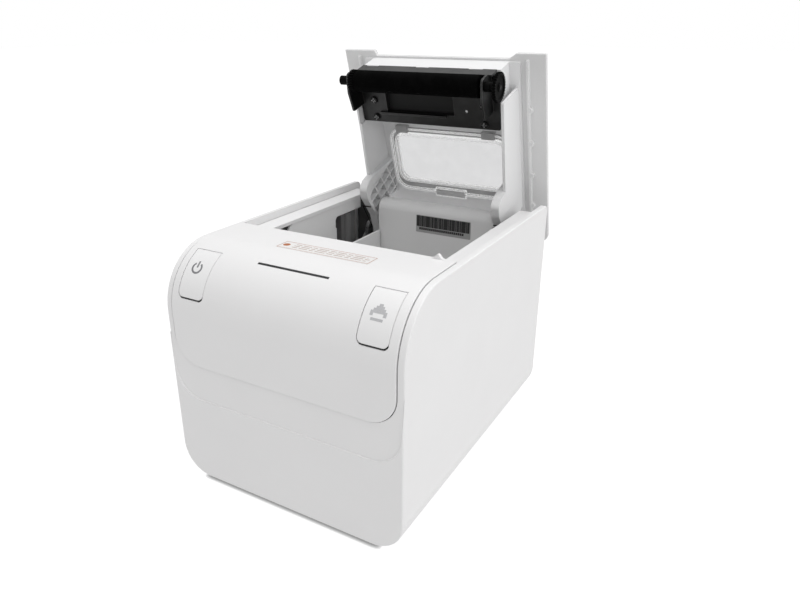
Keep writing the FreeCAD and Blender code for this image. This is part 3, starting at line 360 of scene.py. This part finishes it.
# the lid cover's white is darker than lid_white as painted shade on the lid's underside; its edges
# carry painted highlights
LID_TOP_SHADED_WHITE = moulded_plastic("lid_top_shaded_white", (0.73, 0.73, 0.73), 0.42, depth=0.006 * MM,
                                highlight_colour=(1.0, 1.0, 1.0))
LID_WHITE = moulded_plastic("lid_white", (0.80, 0.80, 0.803), 0.42, depth=0.006 * MM)
BAY_WHITE = moulded_plastic("bay_white", (0.77, 0.77, 0.77), 0.42, depth=0.006 * MM)
BUTTON_WHITE = moulded_plastic("button_white", (0.81, 0.807, 0.809), 0.45)
CLIP_GREY = moulded_plastic("clip_grey", (0.40, 0.40, 0.40), 0.42, depth=0.006 * MM)
BLACK_PLASTIC = moulded_plastic("black_plastic", (0.004, 0.004, 0.004), 0.45, edge=0.1 * MM,
                                specular=0.03)
# near-black for the tray behind the platen bracket's opening: painted shade for the dark inside
TRAY_PAINTED_SHADE = moulded_plastic("tray_painted_shade", (0.022, 0.022, 0.022), 0.5, edge=0.1 * MM,
                             specular=0.1)
SENSOR_GREY = moulded_plastic("sensor_grey", (0.17, 0.17, 0.17), 0.5, specular=0.2)
# dark grey for painted shade on the case's inner wall beside the paper bay
INNER_PAINTED_SHADE = moulded_plastic("inner_painted_shade", (0.13, 0.13, 0.13), 0.6, specular=0.2)
LABEL_FILM = moulded_plastic("label_film", (0.80, 0.79, 0.78), 0.35, depth=0.003 * MM,
                             edge=0.05 * MM)
SERIAL_FILM = moulded_plastic("serial_film", (0.36, 0.36, 0.36), 0.4, depth=0.003 * MM,
                              edge=0.05 * MM)
SMOKED_LIGHT = moulded_plastic("smoked_light", (0.02, 0.02, 0.022), 0.25, depth=0.002 * MM,
                               edge=0.1 * MM)
CERAMIC = moulded_plastic("ceramic", (0.42, 0.33, 0.24), 0.2, depth=0.002 * MM, edge=0.1 * MM)
RUBBER = ground_rubber("roller_rubber", (0.001, 0.001, 0.001))
FOOT_RUBBER = ground_rubber("foot_rubber", (0.03, 0.03, 0.03), 0.85)
STEEL = rolled_steel("bright_steel", (0.55, 0.55, 0.56), 0.32)
DARK_SHEET = rolled_steel("dark_sheet", (0.055, 0.055, 0.055), 0.42,
                          wear_and_glint_colour=(0.15, 0.15, 0.15))
BLADE_STEEL = rolled_steel("blade_steel", (0.11, 0.11, 0.11), 0.5)
DARK_WIRE = rolled_steel("dark_wire", (0.02, 0.02, 0.02), 0.4)
# pale edges on the dark screw heads: a painted glint
SCREW_STEEL = rolled_steel("screw_steel", (0.02, 0.02, 0.02), 0.3,
                           wear_and_glint_colour=(0.7, 0.7, 0.7), wear_and_glint_width=0.45 * MM)
ALUMINIUM = rolled_steel("aluminium", (0.62, 0.62, 0.63), 0.4)
CLEAR = clear_plastic("window_plastic", (0.98, 0.98, 0.98), haze=0.3)
PANE_TINT = clear_plastic("window_pane", (0.68, 0.68, 0.685), haze=0.0)
BOARD = solder_mask("solder_mask", (0.02, 0.09, 0.035))
GREY_INK = ink("grey_ink", (0.16, 0.16, 0.17))
PALE_INK = ink("pale_ink", (0.40, 0.40, 0.41))
NOTICE_INK = ink("notice_ink", (0.42, 0.34, 0.31))
BROWN_INK = ink("brown_ink", (0.33, 0.13, 0.09))
ORANGE_INK = ink("orange_ink", (0.36, 0.11, 0.03))
# black print, and also the painted shade in the buttons' bottom gaps
BLACK_INK_AND_PAINTED_SHADE = ink("black_ink_and_painted_shade", (0.006, 0.006, 0.006))

NODE_MATERIALS = {
    CASE_WHITE: ["outer_case", "base_plate", "connector_panel"],
    COVER_WHITE: ["top_cover"],
    BUTTON_WHITE: ["feed_button", "power_button"],
    LID_TOP_SHADED_WHITE: ["lid_cover"],
    LID_WHITE: ["lid_frame", "left_hinge_arm", "right_hinge_arm"],
    CLIP_GREY: ["window_clips"],
    BAY_WHITE: ["paper_bay", "paper_divider"],
    SENSOR_GREY: ["paper_sensor"],
    TRAY_PAINTED_SHADE: ["bracket_tray"],
    BLACK_PLASTIC: ["platen_gear", "platen_end_wheel", "platen_bushes",
                    "motor_pinion", "idler_gear", "button_switches",
                    "board_components", "power_socket", "drawer_socket"],
    LABEL_FILM: ["notice_label"],
    SERIAL_FILM: ["serial_label"],
    SMOKED_LIGHT: ["status_light_bar"],
    CERAMIC: ["print_head"],
    RUBBER: ["platen_roller"],
    FOOT_RUBBER: ["rubber_feet"],
    STEEL: ["left_hinge_bracket", "right_hinge_bracket", "hinge_pins", "mechanism_frame",
            "head_springs", "spring_plate", "feed_motor", "idler_axle", "cutter_motor",
            "usb_socket", "network_socket", "latch", "cutter_blade"],
    DARK_SHEET: ["platen_bracket", "cutter_housing"],
    BLADE_STEEL: ["fixed_blade"],
    DARK_WIRE: ["left_lid_spring", "right_lid_spring", "platen_shaft"],
    SCREW_STEEL: ["case_screws", "bracket_screws"],
    ALUMINIUM: ["head_heatsink"],
    CLEAR: ["lid_window"],
    BOARD: ["main_board", "button_board"],
}


def tint_pane():
    """Give the flat pane in the middle of the window a darker tint than its moulded rims."""
    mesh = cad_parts["lid_window"].data
    mesh.materials.append(PANE_TINT)
    lean = math.radians(LID_OPEN_DEGREES)
    lid_normal = Vector((0, math.sin(lean), math.cos(lean)))
    heights = [corner.co.dot(lid_normal) for corner in mesh.vertices]
    top = max(heights)
    close = 0.05 * MM
    for face in mesh.polygons:
        depth = top - face.center.dot(lid_normal)
        facing = abs(face.normal.dot(lid_normal)) > 0.99
        if facing and (depth < close or abs(depth - PANE_THICKNESS) < close):
            face.material_index = 1


def paint_shade_on_inner_wall():
    """Painted shade on the case's inner rear wall, seen past the left wall of the paper bay."""
    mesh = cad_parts["outer_case"].data
    mesh.materials.append(INNER_PAINTED_SHADE)
    bay_low, bay_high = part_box("paper_bay")
    for face in mesh.polygons:
        centre = face.center
        beside = centre.x < bay_low[0] and INNER_WALL_FOOT < centre.z < bay_high[2]
        if beside and face.normal.y < -0.9 and centre.y > bay_high[1]:
            face.material_index = 1


def dress_nodes():
    """Give every CAD node its material."""
    for material, names in NODE_MATERIALS.items():
        for name in names:
            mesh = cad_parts[name].data
            mesh.materials.clear()
            mesh.materials.append(material)
    tint_pane()
    paint_shade_on_inner_wall()


# ---- printed marks ------------------------------------------------------------------
def printed_mark(name, polygons, place, material, body, top=INK_THICKNESS,
                 underside=INK_UNDERSIDE):
    """Thin solids on polygons in (u, v), laid on a surface by place(u, v, lift)."""
    mesh = bmesh.new()
    for polygon in polygons:
        low = [mesh.verts.new(place(u, v, underside)) for u, v in polygon]
        high = [mesh.verts.new(place(u, v, top)) for u, v in polygon]
        mesh.faces.new(low[::-1])
        mesh.faces.new(high)
        for index in range(len(polygon)):
            after = (index + 1) % len(polygon)
            mesh.faces.new((low[index], low[after], high[after], high[index]))
    bmesh.ops.recalc_face_normals(mesh, faces=mesh.faces)
    data = bpy.data.meshes.new(name)
    mesh.to_mesh(data)
    mesh.free()
    data.materials.append(material)
    piece = bpy.data.objects.new(name, data)
    bpy.context.scene.collection.objects.link(piece)
    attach(piece, body)


def rectangle(u0, u1, v0, v1):
    """Corners of an upright rectangle."""
    return [(u0, v0), (u1, v0), (u1, v1), (u0, v1)]


def ring_part(radius, width, start, end, steps=24):
    """Quads along an arc, from the start angle to the end angle in degrees."""
    quads = []
    for index in range(steps):
        first = math.radians(start + (end - start) * index / steps)
        second = math.radians(start + (end - start) * (index + 1) / steps)
        inner, outer = radius - width / 2, radius + width / 2
        quads.append([(inner * math.cos(first), inner * math.sin(first)),
                      (outer * math.cos(first), outer * math.sin(first)),
                      (outer * math.cos(second), outer * math.sin(second)),
                      (inner * math.cos(second), inner * math.sin(second))])
    return quads


def front_curve_place(x, angle):
    """Placing function for marks on the curved front; v runs up round the curve."""
    centre_y = FRONT_Y + FRONT_RADIUS
    centre_z = TOP_Z - FRONT_RADIUS

    def place(u, v, lift):
        turn = math.radians(angle) + v / FRONT_RADIUS
        reach = FRONT_RADIUS + lift
        return (x + u, centre_y - reach * math.cos(turn), centre_z + reach * math.sin(turn))

    return place


def top_place(u, v, lift):
    """Placing function for marks on the notice label; v runs to the rear."""
    return (u, v, NOTICE_HIGH[2] + lift)


def serial_place(u, v, lift):
    """Placing function for marks on the serial label; v runs up."""
    return (u, SERIAL_LOW[1] - lift, v)


def power_icon():
    """Open ring with a bar through its gap; the bar is in short parts that follow the curve."""
    shapes = ring_part(POWER_RING_RADIUS, POWER_RING_WIDTH, *POWER_RING_ARC)
    for index in range(4):
        foot = POWER_BAR_FOOT + index * POWER_BAR_PART
        shapes.append(rectangle(-POWER_BAR_HALF_WIDTH, POWER_BAR_HALF_WIDTH, foot,
                                foot + POWER_BAR_PART))
    printed_mark("power_icon", shapes, front_curve_place(POWER_ICON_X, ICON_ANGLE), GREY_INK,
                 "power_key")


def feed_icon():
    """Stepped arrow on two feet, over a plain bar."""
    shapes = []
    for index, half in enumerate(FEED_STEP_HALF_WIDTHS):
        foot = FEED_STEPS_FOOT + index * FEED_STEP_HEIGHT
        shapes.append(rectangle(-half * MM, half * MM, foot, foot + FEED_STEP_HEIGHT))
    for side in FEED_FOOT_CENTRES:
        shapes.append(rectangle((side - FEED_FOOT_HALF_WIDTH) * MM,
                                (side + FEED_FOOT_HALF_WIDTH) * MM,
                                FEED_FEET_BOTTOM, FEED_STEPS_FOOT))
    shapes.append(rectangle(-FEED_BAR_HALF_WIDTH, FEED_BAR_HALF_WIDTH, FEED_BAR_BOTTOM,
                            FEED_BAR_TOP))
    printed_mark("feed_icon", shapes, front_curve_place(FEED_ICON_X, ICON_ANGLE), PALE_INK,
                 "feed_key")


def arc_length(height):
    """Length round the front curve, from the horizontal up to the given height."""
    return FRONT_RADIUS * math.asin((height - TOP_Z + FRONT_RADIUS) / FRONT_RADIUS)


def gap_lining(key, edge, strips, material, depths):
    """Sunken lining in one gap of a button; it rides with the button."""
    printed_mark(f"{key}_{edge}_lining", strips, front_curve_place(0, 0), material,
                 f"{key}_key", top=depths[0], underside=depths[1])


def gap_linings(key):
    """Pale linings in a button's right and top gaps, and a dark strip of painted shade in its bottom
    gap.
    """
    low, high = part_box(f"{key}_button")
    bottom = arc_length(low[2])
    top = arc_length(high[2])
    left = high[0] + (BUTTON_GAP - LINING_WIDTH) / 2
    steps = 8
    first = bottom + SIDE_LINING_FOOT
    rise = (top - first) / steps
    side = [rectangle(left, left + LINING_WIDTH, first + rise * index,
                      first + rise * (index + 1)) for index in range(steps)]
    gap_lining(key, "side", side, BUTTON_WHITE, SIDE_LINING_DEPTHS)
    above = rectangle(low[0], high[0], top + 0.06 * MM, top + 0.3 * MM)
    gap_lining(key, "top", [above], BUTTON_WHITE, TOP_LINING_DEPTHS)
    # painted shade: a dark strip sunk in the bottom gap
    below = rectangle(low[0] + 1.2 * MM, high[0] - 0.6 * MM, bottom - 0.75 * MM,
                      bottom - 0.12 * MM)
    gap_lining(key, "bottom", [below], BLACK_INK_AND_PAINTED_SHADE, BOTTOM_SHADE_DEPTHS)


def notice_dashes(u0, u1, middle):
    """Rows of dashes of uneven length, in place of wording."""
    dashes = []
    for height, ending in NOTICE_ROWS:
        last = u1 - ending * MM
        low = middle + (height - NOTICE_DASH_HALF_HEIGHT) * MM
        high = middle + (height + NOTICE_DASH_HALF_HEIGHT) * MM
        across = u0
        count = 0
        while across < last:
            stop = min(across + NOTICE_DASHES[count % len(NOTICE_DASHES)] * MM, last)
            dashes.append(rectangle(across, stop, low, high))
            across = stop + NOTICE_DASH_GAP
            count += 1
    return dashes


def notice_print():
    """Thin frame, a small mark and rows of dashes in place of wording on the notice label."""
    u0, u1 = NOTICE_LOW[0] + NOTICE_MARGIN, NOTICE_HIGH[0] - NOTICE_MARGIN
    v0, v1 = NOTICE_LOW[1] + NOTICE_MARGIN, NOTICE_HIGH[1] - NOTICE_MARGIN
    outline = [rectangle(u0, u1, v0, v0 + NOTICE_LINE),
               rectangle(u0, u1, v1 - NOTICE_LINE, v1),
               rectangle(u0, u0 + NOTICE_LINE, v0 + NOTICE_LINE, v1 - NOTICE_LINE),
               rectangle(u1 - NOTICE_LINE, u1, v0 + NOTICE_LINE, v1 - NOTICE_LINE)]
    printed_mark("notice_outline", outline, top_place, BROWN_INK, "chassis")
    middle = (v0 + v1) / 2
    mark_u = u0 + NOTICE_MARK_INSET
    turns = [math.radians(30 * step) for step in range(12)]
    disc = [(mark_u + NOTICE_MARK_RADIUS * math.cos(turn),
             middle + NOTICE_MARK_RADIUS * math.sin(turn)) for turn in turns]
    printed_mark("notice_mark", [disc], top_place, ORANGE_INK, "chassis")
    dashes = notice_dashes(u0 + NOTICE_DASHES_INSET, u1, middle)
    printed_mark("notice_bars", dashes, top_place, NOTICE_INK, "chassis")


def serial_print():
    """Generic stripes and a row of ticks on the serial label."""
    u0, u1 = SERIAL_LOW[0] + 0.4 * MM, SERIAL_HIGH[0] - 0.6 * MM
    v0, v1 = SERIAL_HIGH[2] - STRIPES_BOTTOM, SERIAL_HIGH[2] - STRIPES_TOP
    marks = []
    across = u0
    index = 0
    while across < u1 - 1.5 * MM:
        width = STRIPE_WIDTHS[index % len(STRIPE_WIDTHS)] * MM
        marks.append(rectangle(across, across + width, v0, v1))
        across += width + STRIPE_GAPS[index % len(STRIPE_GAPS)] * MM
        index += 1
    for step in range(TICK_COUNT):
        start = u0 + TICKS_INSET + step * TICK_PITCH
        marks.append(rectangle(start, start + TICK_WIDTH, v0 - TICKS_BOTTOM, v0 - TICKS_TOP))
    printed_mark("serial_stripes", marks, serial_place, BLACK_INK_AND_PAINTED_SHADE, "chassis")


# ---- floor, light and camera --------------------------------------------------------
def pale_floor():
    """White floor with a painted shadow: its glow dims to a thin dark line where the printer stands
    close over it.
    """
    bpy.ops.mesh.primitive_plane_add(size=12, location=(0, 0, 0))
    floor = bpy.context.object
    floor.name = "floor"
    material, tree = new_material("floor_white")
    seen = add(tree, "ShaderNodeLightPath").outputs["Is Camera Ray"]
    glow = add(tree, "ShaderNodeMapRange", {
        "Value": seen, "To Min": FLOOR_BOUNCE, "To Max": FLOOR_GLOW}).outputs["Result"]
    open_sky = add(tree, "ShaderNodeAmbientOcclusion", {"Distance": CONTACT_SHADOW},
                   samples=8).outputs["AO"]
    shade = combine(tree, "POWER", open_sky, 2.0)
    shader = add(tree, "ShaderNodeBsdfPrincipled", {
        "Base Color": (0.10, 0.10, 0.10, 1), "Roughness": 0.9,
        "Emission Color": (1, 1, 1, 1),
        "Emission Strength": combine(tree, "MULTIPLY", glow, shade)})
    output(tree, shader)
    floor.data.materials.append(material)


def studio_world():
    """White surroundings: bright to look at, weaker as light on the printer."""
    world = bpy.data.worlds.new("studio")
    bpy.context.scene.world = world
    world.use_nodes = True
    tree = world.node_tree
    tree.nodes.clear()
    direction = add(tree, "ShaderNodeTexCoord").outputs["Generated"]
    height = add(tree, "ShaderNodeSeparateXYZ", {"Vector": direction}).outputs["Z"]
    strength = add(tree, "ShaderNodeMapRange", {
        "Value": height, "From Min": 0.0, "From Max": 1.0,
        "To Min": HORIZON_LIGHT, "To Max": ZENITH_LIGHT}).outputs["Result"]
    light = add(tree, "ShaderNodeBackground", {"Color": (1, 1, 1, 1), "Strength": strength})
    backdrop = add(tree, "ShaderNodeBackground", {"Color": (1, 1, 1, 1), "Strength": 1.0})
    seen = add(tree, "ShaderNodeLightPath").outputs["Is Camera Ray"]
    surroundings = mix_shaders(tree, seen, light, backdrop)
    end = add(tree, "ShaderNodeOutputWorld")
    tree.links.new(surroundings.outputs[0], end.inputs["Surface"])


def soft_box(name, place, target, size, power):
    """Square area light aimed at the target."""
    light = bpy.data.lights.new(name, "AREA")
    light.shape = "SQUARE"
    light.size = size
    light.energy = power
    lamp = bpy.data.objects.new(name, light)
    lamp.location = place
    aim = Vector(target) - Vector(place)
    lamp.rotation_euler = aim.to_track_quat("-Z", "Y").to_euler()
    bpy.context.scene.collection.objects.link(lamp)


def studio_lights():
    """Large lights above the printer and to its right."""
    middle = (0, 0, 0.1)
    soft_box("overhead", (0.1, 0.0, 1.3), middle, 1.2, OVERHEAD_WATTS)
    soft_box("right_side", (1.2, -0.1, 0.6), middle, 0.9, SIDE_WATTS)


def photo_camera():
    """Camera at the viewing angle of the photograph."""
    azimuth, drop, roll = (math.radians(a) for a in (CAMERA_AZIMUTH, CAMERA_DROP, CAMERA_ROLL))
    forward = Vector((-math.sin(azimuth) * math.cos(drop), math.cos(azimuth) * math.cos(drop),
                      -math.sin(drop)))
    level = Vector((math.cos(azimuth), math.sin(azimuth), 0))
    upright = level.cross(forward)
    right = level * math.cos(roll) + upright * math.sin(roll)
    up = upright * math.cos(roll) - level * math.sin(roll)
    data = bpy.data.cameras.new("camera")
    data.lens = CAMERA_LENS_MM
    data.sensor_width = 36
    data.shift_x = CAMERA_SHIFT_X
    camera = bpy.data.objects.new("camera", data)
    turn = Matrix((right, up, -forward)).transposed().to_4x4()
    camera.matrix_world = Matrix.Translation(CAMERA_PLACE) @ turn
    bpy.context.scene.collection.objects.link(camera)
    bpy.context.scene.camera = camera


bpy.context.scene.view_settings.view_transform = "Standard"
photo_camera()
pale_floor()
studio_world()
studio_lights()
dress_nodes()
power_icon()
feed_icon()
gap_linings("feed")
gap_linings("power")
notice_print()
serial_print()
